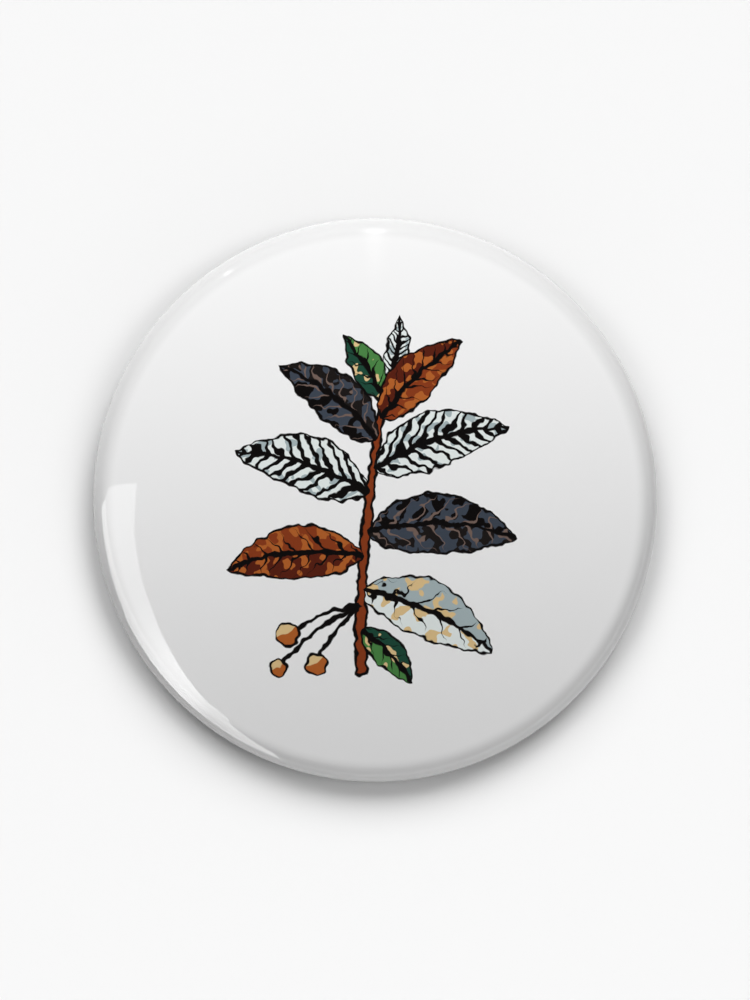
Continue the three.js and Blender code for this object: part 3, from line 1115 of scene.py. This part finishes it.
pin_tree = wire_tree("sprung wire", nickel)
leg_wire = grown("pin_leg_wire", pin_tree, {"To": loop_start})
loop_wire = grown("pin_loop_wire", pin_tree, {"From": loop_start, "To": loop_end})
arm_wire = grown("pin_arm_wire", pin_tree, {"From": loop_end, "Steps": 190})
pin_pieces = ((leg_wire, "pin_leg"), (loop_wire, "pin_loop"), (arm_wire, "pin_arm"))
for made, node in pin_pieces:
    soften(made, WIRE_CREASE)
    print(node, "in the frame:", [[round(v / MM, 2) for v in corner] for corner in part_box(node)])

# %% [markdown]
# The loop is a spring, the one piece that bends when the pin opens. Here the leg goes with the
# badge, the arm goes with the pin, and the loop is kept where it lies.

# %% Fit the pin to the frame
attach(leg_wire, "badge")
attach(arm_wire, "pin")
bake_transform(loop_wire)
for made, node in pin_pieces:
    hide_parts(node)
print("pin pieces fitted")

# %% [markdown]
# The badge lies on a plain white table without gloss. No paint is pure white, so neither is this
# one.

# %% Table
FLOOR_REACH = 3.0
FLOOR_WHITE = (0.8, 0.8, 0.8, 1)


def flat_piece(name, corners, height, material):
    """A level piece of one face, through corners given in plan."""
    mesh = bpy.data.meshes.new(name)
    mesh.from_pydata([(x, y, height) for x, y in corners], [], [range(len(corners))])
    mesh.materials.append(material)
    return piece(name, mesh)


floor_paint, tree, shader = surface("floor_paint")
tree.feed(shader, {"Base Color": FLOOR_WHITE, "Roughness": 0.9, "Specular IOR Level": 0.0})
corners = [(x * FLOOR_REACH, y * FLOOR_REACH) for x, y in ((-1, -1), (1, -1), (1, 1), (-1, 1))]
floor = flat_piece("floor", corners, 0, floor_paint)
print("table", 2 * FLOOR_REACH, "m wide")

# %% [markdown]
# The film mirrors whatever stands around it. Overhead the studio is dark, so the flat middle of the
# badge mirrors next to nothing and the inks stay deep. Near the horizon pale walls show in the steep
# part of the rim. They are darkest at the upper left, where a bright wall would wash out the edge.
# Two gradients give this, over a ray's height and its direction.

# %% World
OVERHEAD = 0.05
WALLS = 1.05
WALLS_CHANGE = 0.95
DARKEST_WALL = 135
WALLS_END = 0.45

world = bpy.data.worlds.new("studio")
world.use_nodes = True
sky = Tree(world.node_tree)
x, y, upwards = sky.parts(sky.add("ShaderNodeTexCoord")("Generated"))
darkest = pointing(DARKEST_WALL)
walls = WALLS - (x * darkest.x + y * darkest.y) * WALLS_CHANGE
backdrop = OVERHEAD + walls * (1 - (upwards / WALLS_END).eased())
sky.feed(world.node_tree.nodes["Background"], {"Color": (1, 1, 1, 1), "Strength": backdrop})
bpy.context.scene.world = world
print(f"walls from {WALLS - WALLS_CHANGE:.1f} to {WALLS + WALLS_CHANGE:.1f} bright")

# %% [markdown]
# The face is bright at the top and greyer at the bottom, though its dome is shallow, so its light
# comes from low down behind it. The shadow on the table is soft and lies at the sides and in front,
# which asks for other lights. Light linking gives both: each sun reaches either the badge or the
# table. None is seen in the film, where it would make a hard white spot. The bright face throws no
# light on the table either, as that would wash out the shadow. A sun is given by its strength and,
# in degrees, its width, its tilt from above and its turn.

# %% Lights on the badge and on the table
SUNS_ON_BADGE = {"key": (3.72, 26, 76, 99), "dome": (1.36, 125, 0, 0)}
SUNS_ON_TABLE = {
    "table_right": (2.13, 33, 53, 65),
    "table_left": (1.68, 33, 53, 115),
    "side_right": (0.91, 31, 47, 0),
    "side_left": (0.66, 31, 47, 180),
}


def sun(name, onto, energy, width, from_above, round_z):
    """Light from very far off that only reaches what a collection holds."""
    data = bpy.data.lights.new(name, "SUN")
    data.energy = energy
    data.angle = math.radians(width)
    made = piece(name, data)
    tilt = math.radians(from_above)
    direction = Vector((*pointing(round_z) * math.sin(tilt), math.cos(tilt)))
    made.rotation_mode = "QUATERNION"
    made.rotation_quaternion = direction.to_track_quat("Z", "Y")
    made.visible_glossy = False
    made.light_linking.receiver_collection = onto


def light_only(name, members, suns):
    """Puts objects in a collection and lights them alone."""
    lit = bpy.data.collections.new(name)
    for member in members:
        lit.objects.link(member)
    for sun_name, about in suns.items():
        sun(sun_name, lit, *about)
    print(len(suns), "suns on", name)


badge_pieces = [printed_face, steel_shell, stamped_back, leg_wire, loop_wire, arm_wire]
light_only("badge_pieces", badge_pieces, SUNS_ON_BADGE)
light_only("table", [floor], SUNS_ON_TABLE)
printed_face.visible_diffuse = False

# %% [markdown]
# The bright band at the lower left is the mirror image of a softbox, and the two small spots at the
# top are lamps. The film draws them sharply, so their outlines tell the shapes of the panels. A sight
# line goes from the camera to the film, bounces off it by twice the slope there and meets the plane
# of the panels, half a metre up. All of it lies in one upright plane, as the camera looks down the
# axis, so plane geometry is enough.
#
# The band's inner edge is given as directions in degrees and distances from the badge's centre in
# pixels. Its outer edge is lost in the steep rim, which mirrors the horizon, so there the softbox
# goes on for metres. A lamp is given by its spot, as a direction and two distances, and fades from
# the middle of the spot. The panels are seen in reflections only.

# %% Panels that the film mirrors
PANEL_HEIGHT = 500
BAND_EDGE_PX = [
    (176, 238.6), (184, 240.8), (188, 242.8), (192, 243.5), (196, 245.2), (200, 246.6), (204, 247.4),
    (208, 249), (212, 251.8), (216, 253.7), (220, 256.2), (224, 258.8), (228, 261.3), (232, 263.2),
    (236, 265.5), (240, 268.7), (244, 270.6), (248, 272.4),
]
SOFTBOX_FAR_CORNERS = [
    (-3300, -9000), (-9000, -9000), (-9000, -4200), (-2300, -1000), (-1500, -300), (-1500, -40),
]
TOP_LAMP = {"turn": 90, "half_turn": 4.5, "near_px": 150, "far_px": 273.7, "strongest": 5.5}
CORNER_LAMP = {"turn": 123, "half_turn": 2.2, "near_px": 267.5, "far_px": 273.6, "strongest": 7.0}
LAMP_FALLOFF = 4
BAND_LIGHT = 2.9
BEND_SLANT, BEND_OVER, BEND_LIGHT = 0.35, 0.55, 4.3
FAR_FROM, FAR_OVER, FAR_LIGHT = 430, 230, 2.8
TIP_SLANT, TIP_OVER, TIP_LEAST = 1.4, 0.4, 0.55
HEIGHT_ROUNDS = 4


def mirrored(turn, reach_px):
    """The point of the panels' plane, in mm, that the film shows at a place of the picture."""
    height = badge_height
    for _ in range(HEIGHT_ROUNDS):
        below_camera = camera.location.z - height
        reach = reach_px * metres_per_px * below_camera / camera_height
        slope = math.asin(max(reach / DOME_RADIUS, (reach - rim_centre) / RIM_ROLL))
        on_dome = badge_height - DOME_RADIUS * (1 - math.cos(slope))
        height = max(on_dome, RIM_ROLL_HEIGHT + RIM_ROLL * math.cos(slope))
    bounce = 2 * slope + math.atan(reach / below_camera)
    away = reach / MM + (PANEL_HEIGHT - height / MM) * math.tan(bounce)
    return pointing(turn) * away


def panel(name, corners, glow):
    """A flat light that only shows as a reflection in the film."""
    material, tree, shader = surface(name)
    tree.group.nodes.remove(shader)
    x, y, _ = tree.parts(tree.position())
    strength = glow(x / MM, y / MM)
    light = tree.add("ShaderNodeEmission", {"Color": (1, 1, 1, 1), "Strength": strength})()
    tree.feed(tree.group.nodes["Material Output"], {"Surface": light})
    made = flat_piece(name, [(x * MM, y * MM) for x, y in corners], PANEL_HEIGHT * MM, material)
    made.visible_camera = False
    made.visible_diffuse = False
    made.visible_shadow = False
    print(name, "with", len(corners), "corners")


def lamp(name, turn, half_turn, near_px, far_px, strongest):
    """A lamp, given by the spot that it makes in the picture and brightest in the middle."""
    near, far = mirrored(turn, near_px), mirrored(turn, far_px)
    outwards, half_width = pointing(turn), math.tan(math.radians(half_turn))
    sideways = Vector((-outwards.y, outwards.x)) * half_width
    ends = ((near, -1), (far, -1), (far, 1), (near, 1))
    corners = [end + sideways * end.length * side for end, side in ends]
    lowest, highest = (math.atan(end.length / PANEL_HEIGHT) for end in (near, far))

    def glow(x, y):
        out = x * outwards.x + y * outwards.y
        across = (y * outwards.x - x * outwards.y) / out / half_width
        tilt = (out / PANEL_HEIGHT).math("ARCTANGENT")
        along = (tilt - (lowest + highest) / 2) / ((highest - lowest) / 2)
        return (1 - along * along - across * across).clamped() ** LAMP_FALLOFF * strongest

    panel(name, corners, glow)


def band_glow(x, y):
    """Dim where the band is broad, bright in its lower bend and far out, dimmer again in its tip."""
    slant = y / x
    bend = ((slant - BEND_SLANT) / BEND_OVER).eased() * BEND_LIGHT
    far_out = ((-FAR_FROM - x - y) / FAR_OVER).eased() * FAR_LIGHT
    tip = TIP_LEAST + (1 - TIP_LEAST) * ((TIP_SLANT - slant) / TIP_OVER).eased()
    return (BAND_LIGHT + bend + far_out) * tip


panel("side_softbox", [mirrored(*place) for place in BAND_EDGE_PX] + SOFTBOX_FAR_CORNERS, band_glow)
lamp("top_lamp", **TOP_LAMP)
lamp("corner_lamp", **CORNER_LAMP)
